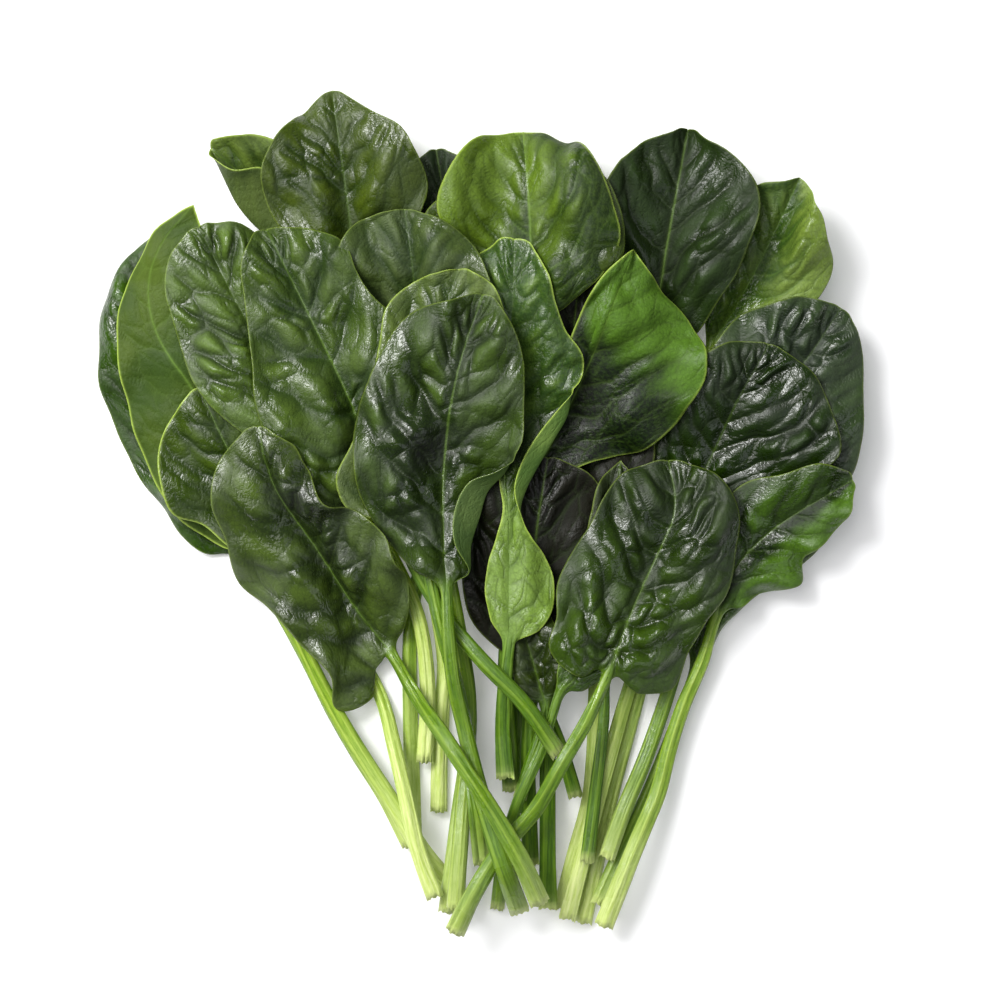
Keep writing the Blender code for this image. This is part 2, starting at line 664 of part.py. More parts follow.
def leaf_object(leaf, solid, offset, bunch):
    """One leaf as an object whose origin is the centre of its cut end."""
    points = (solid.points() + offset) * MM
    origin = Vector(points[-2])
    mesh = bpy.data.meshes.new(leaf.name)
    shape = bmesh.new()
    corners = [shape.verts.new(Vector(point) - origin) for point in points]
    for face in solid.faces:
        shape.faces.new([corners[i] for i in face])
    bmesh.ops.recalc_face_normals(shape, faces=shape.faces)
    shape.to_mesh(mesh)
    shape.free()
    mesh.shade_smooth()
    mesh.materials.append(tone_material(leaf.tone))
    thing = bpy.data.objects.new(leaf.name, mesh)
    thing.location = origin
    thing.parent = bunch
    bpy.context.scene.collection.objects.link(thing)


def build():
    for thing in list(bpy.data.objects):
        bpy.data.objects.remove(thing, do_unlink=True)
    heap = Heap()
    solids = [LeafSolid(leaf) for leaf in LEAVES]
    for solid in solids:
        heap.lay(solid)
    everything = np.concatenate([solid.points() for solid in solids])
    lowest, highest = everything.min(axis=0), everything.max(axis=0)
    base_centre = np.array([(lowest[0] + highest[0]) / 2, (lowest[1] + highest[1]) / 2, lowest[2]])
    bunch = bpy.data.objects.new("spinach_bunch", None)
    bpy.context.scene.collection.objects.link(bunch)
    for leaf, solid in zip(LEAVES, solids):
        leaf_object(leaf, solid, -base_centre, bunch)


build()
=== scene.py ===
"""The looks of a loose bunch of fresh spinach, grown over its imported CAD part.

Each CAD leaf is a closed skin of rings of twelve points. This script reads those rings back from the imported
mesh, lays a finer and thinner leaf through them with veins, puckers, a ribbed stalk and a torn cut end, and
gives it a leaf material. Lengths in the leaf functions are in millimetres.
"""

import math

import bpy
import numpy as np
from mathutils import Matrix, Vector


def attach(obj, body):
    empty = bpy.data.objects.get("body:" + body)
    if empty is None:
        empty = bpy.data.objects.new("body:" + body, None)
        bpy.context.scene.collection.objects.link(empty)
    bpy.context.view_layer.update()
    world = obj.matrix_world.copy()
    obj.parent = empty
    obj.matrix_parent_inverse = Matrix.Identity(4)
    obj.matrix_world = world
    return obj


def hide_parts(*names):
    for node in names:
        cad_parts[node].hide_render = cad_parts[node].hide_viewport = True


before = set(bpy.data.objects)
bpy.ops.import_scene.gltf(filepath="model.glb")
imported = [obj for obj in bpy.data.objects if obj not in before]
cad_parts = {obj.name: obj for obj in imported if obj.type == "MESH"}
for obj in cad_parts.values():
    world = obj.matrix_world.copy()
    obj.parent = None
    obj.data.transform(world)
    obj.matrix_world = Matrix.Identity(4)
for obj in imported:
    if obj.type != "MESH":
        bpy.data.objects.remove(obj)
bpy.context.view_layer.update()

MM = 0.001

# The CAD skin: points in a ring, and points across its top side, margins included.
AROUND = 12
STATIONS = 7
UNDERNEATH = [0, 11, 10, 9, 8, 7, 6]  # the ring's points below those of the top side

# The finer leaf.
COLUMNS = 89  # points across, an odd number
STALK_ROWS = 6  # rows for each gap between the CAD's stalk rings
BLADE_ROWS = 13  # rows for each gap between its blade rings
TIP_ROWS = 9
TIP_REACH = 0.98  # how far the last row closes towards the tip
TIP_FULLNESS = 0.45  # how far the margins run on before they turn in to the tip, as a share of the way
STALK_ENDS = 1.5  # the stalk ends where the leaf is this many times as wide as at its cut
BLADE_HALF = 0.21  # half the blade's thickness
EDGE_HALF = 0.10  # the same at its margin
RIB_HALF_AT_TIP = 0.35
RIB_REACH = 1.3  # half the midrib's width
FOLD_REACH = 10  # columns over which the relief fades out towards a folded margin

# Veins. A lateral vein leaves the midrib at a slant and curves forward. The net is the borders of cells.
VEIN_SLANT = 0.62
VEIN_CURVE = 0.40
VEIN_WAVES = ((30, 1.6), (10, 0.5))  # bends of the lateral veins: wave length and height
VEIN_START = (-7, -3)  # place of the first one, ahead of the blade's base
VEIN_SPACING = (0.10, 0.20)  # shares of the blade's length
VEIN_APART = 0.8  # the distance from a lateral vein as a share of that along the midrib
NET_SLANT = 0.5
NET_WAVE, NET_BEND = 14, 1.2
FINE_NET = 0.42  # size of the finest cells as a share of the puckers' size
DOME_WIDTH = 0.42  # of the slope round a pucker, as a share of the puckers' size
SWELLING_WIDTH = 3.6  # of the slope down to a lateral vein

# Relief: heights, wave lengths and the widths over which it fades out.
PUCKER_HEIGHT = 1.3
VEIN_DEPTH, VEIN_WIDTH = 0.3, 0.6
CELL_HEIGHT, CELL_SLOPE = 0.05, 0.9
MARGIN_FADE = 7.0
TIP_FADE = 14.0
PATCH_WAVE = 34.0  # puckers are stronger and weaker in patches of this size
LARGE_WAVE, LARGE_HEIGHT = 44.0, 1.8
MEDIUM_WAVE, MEDIUM_HEIGHT = 20.0, 0.7
RUFFLE_WAVE = 17.0
RIDGES = ((5, 0.11), (8, 0.06), (15, 0.03))  # along a stalk: waves across it, and height
RIDGE_WAVE = 60.0  # length over which the ridges wander
TEETH = 0.2  # raggedness of the cut end
NOTCHES = ((5, 0.35), (17, 0.25))  # of the cut end: waves across it, and depth
DISH_SIZE = 0.72  # the cut end's dish as a share of the stalk's width
DISH_STEP = 0.5  # how far each of its two steps goes into the stalk

# Half widths of the painted lines.
RIB_LINE = 0.6
LATERAL_LINE = 0.45
GROOVE_LINE = 0.32
NET_LINE, NET_GROOVE_LINE = 0.7, 0.5
CELL_LINE = 0.4
CUT_REACH = 1.3  # how far the cut end's colour runs up the stalk

# Laying the leaves on each other.
GAP = 0.12  # least gap between leaves where they touch
GROUND_GAP = 0.15
CELL = 1.0  # grid spacing of the height map that keeps the leaves apart
FIELD = 340.0  # side of the height map
MOST_LIFT = 6.0  # by the heap, not by the floor
LIFT_REACH = 3  # rows and columns over which a lift is spread

# Colours, in sRGB.
VEIN = (104, 136, 48)
VEIN_BELOW = (108, 142, 52)
BELOW = ((74, 110, 38), (114, 148, 60))
BELOW_WHEN_UP = ((48, 74, 18), (76, 100, 30))
# a paler margin, partly a painted edge highlight
MARGIN = (164, 190, 78)
# painted shade for the grooves, the net's lines and the pores
CREASE_SHADE = (14, 26, 8)
SHADE = (12, 16, 10)
# darker in a stalk's hollows and lighter on its streaks and ridges: partly painted shade and highlight
STALK_HOLLOW = ((48, 82, 6), (112, 150, 24))  # of the greenest stalk and of the palest
STALK_STREAK = ((84, 122, 12), (166, 194, 54))
STALK_RIDGE = ((118, 152, 34), (206, 222, 112))
STALK_END = ((186, 208, 92), (226, 234, 166))
CUT_END = (222, 236, 150)
FLOOR = ((236, 236, 238), (240, 240, 241))

# Sizes of the patterns, in features per metre, except that streaks are per millimetre across a stalk.
BROAD_SCALE = 45
SPECKLE_SCALE = 900
PORE_SCALE = 620
GLOSS_SCALE = 55
GRAIN_SCALE = 500
STREAK_SCALE = 1.6
STREAK_STRETCH = 0.06  # how much slower a streak changes along the stalk than across it

# What height and patterns do to the colour, the gloss and the bumps.
# Height lightens the raised parts and darkens the hollows: painted light and shade.
SWELL_WEIGHT, BROAD_WEIGHT = 0.7, 0.5  # how far height and broad noise lighten the blade
LIGHTNESS = (0.28, 0.92)  # from a leaf's dark colour to its light colour
LIGHTNESS_OF_SHADE = (0.2, -0.4)  # from its dark colour to SHADE
# Pores and grooves are darkened with painted shade.
PORE_WIDTH = 0.22
SPECKLE, PORE_SHADE, GROOVE_SHADE = 0.15, 0.16, 0.42  # how strongly each colours the blade
UNDER_COVER, CUT_COVER = 0.85, 0.8  # how far their colours hide the one below
STREAKS = (0.25, 0.75)  # noise at a stalk's two colours
# lighter ridges on the stalk, partly a painted highlight
RIDGE_LIGHT = 0.45
STALK_FADE = 0.6  # share of the stalk over which it turns pale towards the cut
GLOSSY = (0.40, 0.62)  # noise where a leaf is shiniest and dullest
SHINIEST, DULLEST = 0.33, 0.76  # roughness of a leaf without gloss
GLOSS_GAIN = 0.20  # by which full gloss lowers both
UNDERSIDE_ROUGHNESS = 0.6
SPECULAR, SPECULAR_GAIN = 0.24, 0.30
BUMP_DEPTH, BUMP_STRENGTH = 0.0004, 0.6
FINE_BUMP, PORE_BUMP, STREAK_BUMP = -0.6, 0.16, 1.2

# The studio, in metres.
FLOOR_REACH = 6.0
FLOOR_PATTERN = 3
FLOOR_ROUGHNESS = 0.8
FLOOR_GLOW, GLOW_STRENGTH = (1.0, 0.98, 1.0, 1), 0.18
KEY = dict(place=(-0.9, 0.55, 1.45), size=2.4, power=38, colour=(1.0, 0.99, 0.96))
ACCENT = dict(place=(-0.9, 0.8, 1.4), size=0.7, power=24, colour=(1.0, 1.0, 1.0))
FILL = dict(place=(1.1, -0.5, 1.3), size=1.4, power=5, colour=(0.92, 0.95, 1.0))
WORLD_COLOUR, WORLD_STRENGTH = (0.93, 0.95, 1.0, 1), 0.15
LENS, SENSOR = 100.0, 36.0  # millimetres
VIEW_CENTRE = (0.0069, 0.0043)
VIEW_HEIGHT = 0.015  # above the floor, where the picture is VIEW_WIDTH wide
VIEW_WIDTH = 0.355

# Values that each mesh hands to its material.
# tone is painted light and shade; swell is the height by which light and shade are painted
ATTRIBUTES = ("stalk", "vein", "fine", "edge", "swell", "under", "tone", "cut", "down", "ridges")

EVEN = np.linspace(-1, 1, COLUMNS)
ACROSS = 0.6 * EVEN + 0.4 * np.sin(EVEN * np.pi / 2)  # closer together near the margins
MIDDLE = COLUMNS // 2

# so the tints also paint part of each leaf's light and shade into its colour
# Looks of a leaf, from the lowest leaf to the topmost. Lengths are in millimetres.
#   dark, light: sRGB colours of its hollows and of its raised parts, which paint shade into the hollows
#     and light onto the raised parts
#   tint: factors on the red, green and blue of both; under_tint: the same for the underside. Except for
#     leaf_back_sliver and leaf_behind_right_wavy, these weren't picked by hand: a program fitted them, until
#     each leaf's middle tones came close to the picture's
#   pucker, size: height and width of the puckers between the veins
#   quilt: how far the blade swells up between its lateral veins
#   shoulder: how far each half of the blade arches up beside the midrib
#   crumple, ruffle: height of the large waves, and of those along the margins
#   rib, veins: how strongly the midrib and the other veins show
#   rim: how pale the margin is, partly a painted edge highlight; pale: how pale the stalk is, low for the
#     middle stalks, whose darker green is partly painted shade; gloss: how strongly the leaf shines
#   fade: painted light and shade along the leaf: how much lighter the tip is than the base, and over which
#     shares of the length that changes
#   sides: painted light and shade across it: how much lighter the left and the right margin are than the
#     middle
#   patches: round places of painted shade where the amount is below nought, and of painted light where it
#     is above: distance from the midrib, share of the length, radius and amount
# DEEP: the darkest colours, used mostly for leaves that lie in shade under others, so partly painted shade
DEEP = dict(
    slot="leaf_deep_green", dark=(16, 28, 11), light=(34, 54, 22), pucker=0.9, veins=0.08, gloss=0.6,
)
DARK = dict(
    slot="leaf_dark_green", dark=(24, 42, 12), light=(62, 92, 28), pucker=1.0, veins=0.08, gloss=0.8,
)
MID = dict(
    slot="leaf_mid_green", dark=(36, 62, 16), light=(88, 120, 36), pucker=0.8, veins=0.12, gloss=0.6,
)
LIGHT = dict(
    slot="leaf_light_green", dark=(48, 80, 18), light=(114, 146, 44), pucker=0.7, veins=0.35,
    gloss=0.6,
)
UNDER = dict(
    slot="leaf_underside", dark=(50, 84, 22), light=(76, 112, 36), pucker=0.3, veins=0.18, gloss=0.0,
)

LOOKS = {
    "leaf_back_sliver": dict(DEEP, tint=(1.6, 1.4, 1.6), pale=0.5),
    "leaf_back_left_cupped": dict(
        MID, tint=(1.67, 1.27, 2), under_tint=(0.4, 0.34, 0.37), rim=0.8, pale=0.8,
    ),
    "leaf_back_right_light": dict(
        LIGHT, tint=(0.92, 0.81, 1.32), sides=(-0.4, 0.7), crumple=1.6, pale=0.6,
    ),
    "leaf_back_right_dark": dict(DEEP, tint=(1.4, 1.27, 0.89), quilt=1.4, pale=0.7, gloss=0.3),
    "leaf_far_left_dark": dict(DARK, tint=(0.85, 0.97, 0.04), pucker=0.8, pale=0.5),
    "leaf_left_underside": dict(
        UNDER, under_tint=(0.85, 0.76, 0.29), underside_up=True, quilt=0.3, shoulder=0.8, crumple=0.5,
        rim=1.0, pale=0.7,
    ),
    "leaf_top_left": dict(MID, tint=(0.73, 0.58, 0.41), pucker=1.3, crumple=1.6, rib=0.5, pale=0.4),
    "leaf_behind_top_centre": dict(MID, tint=(0.71, 0.58, 0.71), pale=0.0),
    "leaf_behind_right_wavy": dict(DARK, tint=(1.6, 1.5, 1.2)),
    "leaf_far_right_puckered": dict(DARK, tint=(0.97, 0.76, 2), pucker=1.8, quilt=1.4, rib=0.4),
    "leaf_right_puckered": dict(
        DARK, tint=(0.31, 0.35, 0.12), pucker=1.9, quilt=1.2, rib=0.4, pale=0.8,
    ),
    # a dark leaf that fills a place of deep shade between the others: its near-black colour is painted shade
    "leaf_inner_dark_upper": dict(DEEP, tint=(0.52, 0.22, 0.3), pale=0.0, gloss=0.0),
    "leaf_top_centre": dict(
        LIGHT, dark=(40, 60, 14), light=(112, 136, 40), tint=(0.68, 0.75, 0.64), fade=(0.3, 0.2, 0.8),
        sides=(0.6, -0.6), crumple=1.9, rim=0.8, pale=0.0, gloss=0.3,
    ),
    "leaf_centre_right_bright": dict(
        LIGHT, dark=(14, 25, 8), light=(90, 122, 34), tint=(0.71, 0.82, 0.7), fade=(1.3, 0.2, 1.0),
        sides=(-0.9, 0.6), patches=((0, 0.1, 34, -0.7), (6, 0.78, 15, 0.7)), pucker=0.2, veins=0.2,
        rim=0.8, pale=0.0, gloss=0.0,
    ),
    # a dark leaf that fills a place of deep shade between the others: its near-black colour is painted shade
    "leaf_inner_dark_lower": dict(DEEP, tint=(0.45, 0.18, 0.2), shoulder=0.8, pale=0.0, gloss=0.0),
    "leaf_lower_left": dict(MID, tint=(0.56, 0.52, 0.2), pucker=0.4, rim=1.0, pale=0.9),
    "leaf_left_puckered": dict(DARK, tint=(2, 1.55, 1.67), pucker=1.9, quilt=1.2, rib=0.4, pale=0.9),
    "leaf_under_twisted": dict(DARK, tint=(0.76, 0.58, 0.33), pale=0.0),
    "leaf_olive_sliver": dict(MID, tint=(0.17, 0.15, 0.03), pale=0.0),
    "leaf_small_front_right": dict(DARK, tint=(2, 1.8, 1.54), pale=0.1),
    "leaf_centre_twisted": dict(
        MID, tint=(1.66, 1.44, 2), under_tint=(1.6, 1.45, 1.89), fade=(-0.5, 0.25, 0.5), shoulder=1.0,
        crumple=0.6, rib=0.2, rim=0.9, pale=0.0,
    ),
    "leaf_behind_front_centre": dict(MID, tint=(0.9, 0.7, 1.67), crumple=1.4, rib=0.5, pale=0.4),
    "leaf_left_middle": dict(
        MID, tint=(0.77, 0.67, 0.92), pucker=1.4, quilt=1.2, crumple=1.5, pale=0.1,
    ),
    "leaf_above_front_centre": dict(MID, tint=(1.28, 0.96, 2), rib=0.4, rim=0.7, pale=0.2),
    "leaf_right_wavy": dict(
        MID, light=(130, 190, 58), tint=(0.28, 0.27, 0.19), sides=(-0.2, 1.8), ruffle=2.4, pale=0.6,
    ),
    "leaf_front_right": dict(
        DARK, tint=(0.77, 0.72, 0.29), fade=(-0.4, 0.1, 0.8), pucker=2.0, quilt=1.4, pale=0.3,
    ),
    "leaf_front_centre": dict(
        DARK, tint=(1.12, 0.91, 1), under_tint=(1.03, 0.89, 1.49),
        patches=((-7, 0.48, 11, -1.0), (-9, 0.25, 9, -0.4)), pucker=1.6, quilt=1.5, shoulder=3.6,
        crumple=1.6, pale=0.2,
    ),
    "leaf_front_left": dict(
        DARK, tint=(1.63, 1.19, 1.4), patches=((8, 0.66, 11, -0.9), (4, 0.42, 9, -0.5)), quilt=1.3,
        shoulder=3.4, crumple=1.7, ruffle=2.0, pale=0.3,
    ),
}
COMMON = dict(
    tint=(1.0, 1.0, 1.0), under_tint=(1.0, 1.0, 1.0), underside_up=False, fade=(0.0, 0.0, 1.0),
    sides=(0.0, 0.0), patches=(), size=9.0, quilt=0.9, shoulder=2.2, crumple=1.1, ruffle=1.0, rib=1.0,
    rim=0.3, pale=0.3,
)


def rings_of(node):
    """A CAD leaf's rings from the cut end to the tip, and its tip. A ring runs from the left margin over the
    top to the right margin and back underneath."""
    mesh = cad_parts[node].data
    places = np.empty(3 * len(mesh.vertices), np.float32)
    mesh.vertices.foreach_get("co", places)
    microns = np.round(places.reshape(-1, 3) * 1e6)
    points, index = np.unique(microns, axis=0, return_inverse=True)
    points = points * 1e-3
    mesh.calc_loop_triangles()
    corners = np.empty(3 * len(mesh.loop_triangles), np.int32)
    mesh.loop_triangles.foreach_get("vertices", corners)
    triangles = index.ravel()[corners].reshape(-1, 3)
    third = {}
    for a, b, c in triangles.tolist():
        third[a, b], third[b, c], third[c, a] = c, a, b
    fans = np.flatnonzero(np.bincount(triangles.ravel()) == AROUND)
    tip = max(fans.tolist(), key=lambda i: points[i, 1])
    ring = [next(b for a, b in third if a == tip)]
    while len(ring) < AROUND:
        ring.append(third[tip, ring[-1]])
    seen, rings = {tip}, []
    while True:
        seen |= set(ring)
        back = [third[ring[(i + 1) % AROUND], ring[i]] for i in range(AROUND)]
        if not rings:
            start = next(i for i in range(AROUND) if back[i] == back[i - 1])
            ring = ring[start:] + ring[:start]
            back = back[start:] + back[:start]
        rings.append(ring)
        if len(set(back) - seen) < AROUND - 1:
            break
        half = AROUND // 2
        ring = back[:half] + [third[ring[half], back[half - 1]]] + back[half : AROUND - 1]
    return points[rings[::-1]], points[tip]


def smooth(knots, values, wanted):
    """values at knots along the first axis, joined by smooth cubic stretches and read at wanted."""
    slopes = np.gradient(values, knots, axis=0)
    first = np.clip(np.searchsorted(knots, wanted, "right") - 1, 0, len(knots) - 2)
    shape = (-1,) + (1,) * (values.ndim - 1)
    gap = (knots[first + 1] - knots[first]).reshape(shape)
    u = ((wanted - knots[first]) / gap.ravel()).reshape(shape)
    start = (2 * u**3 - 3 * u**2 + 1) * values[first] + (u**3 - 2 * u**2 + u) * gap * slopes[first]
    end = (3 * u**2 - 2 * u**3) * values[first + 1] + (u**3 - u**2) * gap * slopes[first + 1]
    return start + end


def unit(vectors):
    """The vectors at length one."""
    return vectors / np.maximum(np.linalg.norm(vectors, axis=-1, keepdims=True), 1e-9)


def steps_along(points, axis):
    """Distance run along an axis of a grid of points, from its start."""
    lengths = np.linalg.norm(np.diff(points, axis=axis), axis=-1)
    run = np.cumsum(lengths, axis=axis)
    return np.concatenate([np.zeros_like(np.take(run, [0], axis)), run], axis=axis)


def ease(low, high, value):
    """From nought at low to one at high, with smooth ends."""
    share = np.clip((value - low) / (high - low), 0, 1)
    return share * share * (3 - 2 * share)


def bell(distance, width):
    """One at no distance, falling off to nothing over about twice the width."""
    return np.exp(-((distance / width) ** 2))


class Waves:
    """Smooth random waves over a plane: a sum of sines in random directions."""

    def __init__(self, random, length, count=7):
        angle = random.uniform(0, 2 * np.pi, count)
        turns = 2 * np.pi / (length * random.uniform(0.7, 1.6, count))
        self.x, self.y = turns * np.cos(angle), turns * np.sin(angle)
        self.phase = random.uniform(0, 2 * np.pi, count)

    def at(self, x, y):
        total = sum(np.sin(a * x + b * y + c) for a, b, c in zip(self.x, self.y, self.phase))
        return total / math.sqrt(len(self.x) / 2)


def cell_gaps(x, y, size, random):
    """How much further the second nearest of scattered points is than the nearest, which is nothing on the
    border between two cells. The points are about size apart."""
    i = np.arange(np.floor(x.min() / size) - 1, np.ceil(x.max() / size) + 2)
    j = np.arange(np.floor(y.min() / size) - 1, np.ceil(y.max() / size) + 2)
    seeds = np.stack(np.meshgrid(i, j, indexing="ij"), axis=-1)
    seeds[:, 1::2, 0] += 0.5
    seeds = ((seeds + random.uniform(-0.36, 0.36, seeds.shape)) * size).reshape(-1, 2)
    x, y = x.astype(np.float32), y.astype(np.float32)
    nearest, second = np.full(x.shape, 1e6, np.float32), np.full(x.shape, 1e6, np.float32)
    for a, b in seeds.astype(np.float32):
        apart = (x - a) ** 2 + (y - b) ** 2
        second = np.minimum(second, np.maximum(nearest, apart))
        nearest = np.minimum(nearest, apart)
    return np.sqrt(second) - np.sqrt(nearest)


class Leaf:
    """A leaf's middle surface as rows and columns of points, with what each point is."""

    def __init__(self, node, look, number):
        self.node, self.look = node, {**COMMON, **look}
        self.random = np.random.default_rng(number)
        rings, tip = rings_of(node)
        self.refine(rings, tip)
        self.measure()
        self.veins()
        self.relief()
        self.thickness()

    def refine(self, rings, tip):
        """Finer rows and columns through the rings' middle points, and the stalk's half height."""
        top, under = rings[:, :STATIONS], rings[:, UNDERNEATH]
        middle, half = (top + under) / 2, np.linalg.norm(top - under, axis=2) / 2
        width = np.linalg.norm(middle[:, 0] - middle[:, -1], axis=1)
        last_stalk = int(np.argmax(width > STALK_ENDS * width[0])) - 1
        knots = np.arange(len(middle), dtype=float)
        stalk = np.linspace(0, last_stalk, last_stalk * STALK_ROWS + 1)[:-1]
        blade_gaps = len(middle) - 1 - last_stalk
        blade = np.linspace(last_stalk, len(middle) - 1, blade_gaps * BLADE_ROWS + 1)
        rows = np.concatenate([stalk, blade])
        middle, half = smooth(knots, middle, rows), smooth(knots, half, rows)
        fine = (ACROSS + 1) * (STATIONS - 1) / 2
        stations = np.arange(STATIONS, dtype=float)
        middle = smooth(stations, middle.swapaxes(0, 1), fine).swapaxes(0, 1)
        half = smooth(stations, half.swapaxes(0, 1), fine).swapaxes(0, 1)
        share = np.linspace(0, TIP_REACH, TIP_ROWS + 1)[1:, None, None]
        last = middle[-1]
        onward = unit(last - middle[-3]) * np.linalg.norm(tip - last, axis=1, keepdims=True)
        control = last + TIP_FULLNESS * onward
        closing = (1 - share) ** 2 * last + 2 * share * (1 - share) * control + share**2 * tip
        self.points = np.concatenate([middle, closing])
        self.skin_half = np.concatenate([half, np.repeat(half[-1:], TIP_ROWS, axis=0)])
        self.blade_row = len(stalk)

    def measure(self):
        """Distances along the leaf from the blade's base and across from the midrib, and shares of both."""
        points = self.points
        run = steps_along(points[:, MIDDLE], 0)
        self.along = np.broadcast_to((run - run[self.blade_row])[:, None], points.shape[:2])
        across = steps_along(points, 1)
        self.aside = across - across[:, MIDDLE : MIDDLE + 1]
        self.share = np.clip(self.along / self.along[-1, 0], 0, 1)
        self.reach = np.where(ACROSS < 0, -self.aside[:, :1], self.aside[:, -1:])
        self.out = np.abs(self.aside) / np.maximum(self.reach, 0.1)
        self.stalk = 1 - ease(-4, 7, self.along)
        self.to_tip = np.linalg.norm(points - points[-1, MIDDLE], axis=-1)
        self.to_margin = self.reach - np.abs(self.aside)
        blade = slice(self.blade_row, None)
        margin = np.concatenate([points[blade, 0], points[blade, -1]])
        for place in margin[::2]:
            apart = np.linalg.norm(points[blade] - place, axis=-1)
            self.to_margin[blade] = np.minimum(self.to_margin[blade], apart)

    def veins(self):
        """Distances from the lateral veins and from the net between them, and the swellings they enclose."""
        random, size = self.random, self.look["size"]
        along, away = self.along, np.abs(self.aside)
        side = np.sign(self.aside)
        wide = np.maximum(self.reach, 6)
        warp = sum(high * Waves(random, wave).at(self.aside, along) for wave, high in VEIN_WAVES)
        lean = along - VEIN_SLANT * away - VEIN_CURVE * away * away / wide + warp * ease(0, 8, away)
        lateral = np.full(along.shape, 50.0)
        length = along.max()
        for hand in (-1, 1):
            place = random.uniform(*VEIN_START)
            while place < length:
                apart = np.abs(lean - place) * VEIN_APART
                lateral = np.where(side == hand, np.minimum(lateral, apart), lateral)
                place += random.uniform(*VEIN_SPACING) * length
        self.lateral = lateral
        slanted = along - NET_SLANT * away + NET_BEND * Waves(random, NET_WAVE).at(self.aside, along)
        self.net = self.cells(slanted, self.aside, size)
        self.fine_net = self.cells(slanted, self.aside, FINE_NET * size)
        border = np.minimum(np.minimum(self.net, 1.4 * lateral), 1.1 * away)
        self.dome = 1 - np.exp(-((border / (DOME_WIDTH * size)) ** 1.7))
        self.swelling = 1 - np.exp(-((np.minimum(lateral, away) / SWELLING_WIDTH) ** 1.5))

    def cells(self, x, y, size):
        """cell_gaps over the blade, and a full gap along the stalk."""
        blade = slice(self.blade_row, None)
        gap = np.full(x.shape, size)
        gap[blade] = cell_gaps(x[blade], y[blade], size, self.random)
        return gap

    def relief(self):
        """Moves the surface to its puckers, arches and waves."""
        random, look = self.random, self.look
        aside, along = self.aside, self.along
        inner = ease(0.0, MARGIN_FADE, self.to_margin)
        ends = ease(0, TIP_FADE, self.to_tip)
        patches = ease(-0.5, 1.0, Waves(random, PATCH_WAVE).at(aside, along))
        puckers = PUCKER_HEIGHT * look["pucker"] * (self.dome - 0.4)
        high = puckers * (0.2 + 0.8 * inner) * (0.3 + 0.9 * patches)
        high += look["quilt"] * (self.swelling - 0.6) * (0.3 + 0.7 * inner) * (1.1 - 0.6 * self.out)
        high -= VEIN_DEPTH * bell(self.lateral, VEIN_WIDTH) * (1 - self.out) ** 0.5 * inner
        high += CELL_HEIGHT * (1 - bell(self.fine_net, CELL_SLOPE)) * patches
        self.swelled = high
        arch = np.sin(np.pi * np.clip(self.out, 0, 1)) ** 0.8
        profile = np.sin(np.pi * np.clip(0.12 + 0.8 * self.share, 0, 1))
        high = high + look["shoulder"] * arch * profile * ends
        large, medium = Waves(random, LARGE_WAVE), Waves(random, MEDIUM_WAVE)
        waves = LARGE_HEIGHT * large.at(aside, along) + MEDIUM_HEIGHT * medium.at(aside, along)
        high += look["crumple"] * waves * ease(1, 14, np.abs(aside)) * ends
        edge = Waves(random, RUFFLE_WAVE, 4)
        ruffle = look["ruffle"] * edge.at(60.0 * np.sign(aside), along)
        high += ruffle * ease(0.55, 1.0, self.out) * ends * ease(2, 12, self.reach)
        height = high * (1 - self.stalk) * self.flatness()
        self.points = self.points + self.normals() * height[..., None]

    def flatness(self):
        """One where the blade lies open, and nothing at a margin that is folded over."""
        flat = ease(0.15, 0.75, self.normals()[..., 2])
        near = range(-FOLD_REACH, FOLD_REACH + 1, 2)
        flat = np.minimum.reduce([shifted(flat, i, 1) for i in near])
        return sum(shifted(flat, i, 1) for i in near) / len(near)

    def thickness(self):
        """Half the leaf's thickness: a thin blade with a midrib, and a stalk with ridges along it."""
        grown = np.sqrt(self.share)
        rib_half = self.skin_half[self.blade_row, MIDDLE] * (1 - grown) + RIB_HALF_AT_TIP * grown
        rib = bell(self.aside, RIB_REACH * (1.25 - 0.6 * self.share))
        thin = EDGE_HALF + (BLADE_HALF - EDGE_HALF) * ease(0, 1.5, self.to_margin)
        rib = rib * (0.25 + 0.75 * self.look["rib"]) * ease(0, 5, self.to_tip)
        blade_half = thin + (rib_half - thin) * rib
        mix = ease(-3.0, 5.0, self.along)
        half = self.skin_half * (1 - mix) + blade_half * mix
        angle = ACROSS * np.pi / 2
        turn = self.random.uniform(0, 2 * np.pi, 3)
        wander = Waves(self.random, RIDGE_WAVE, 3).at(0 * self.along, self.along)
        turn = turn + 0.4 * wander[:, :1, None]
        ridges = sum(ridge * np.cos(waves * angle + turn[..., i]) for i, (waves, ridge) in enumerate(RIDGES))
        self.ridges = ridges * self.stalk * np.cos(angle) ** 0.5
        self.half = np.maximum(half + self.ridges, 0)

    def normals(self):
        """The direction away from the leaf's top side, at each point."""
        onward, across = np.gradient(self.points, axis=0), np.gradient(self.points, axis=1)
        return unit(np.cross(across, onward))


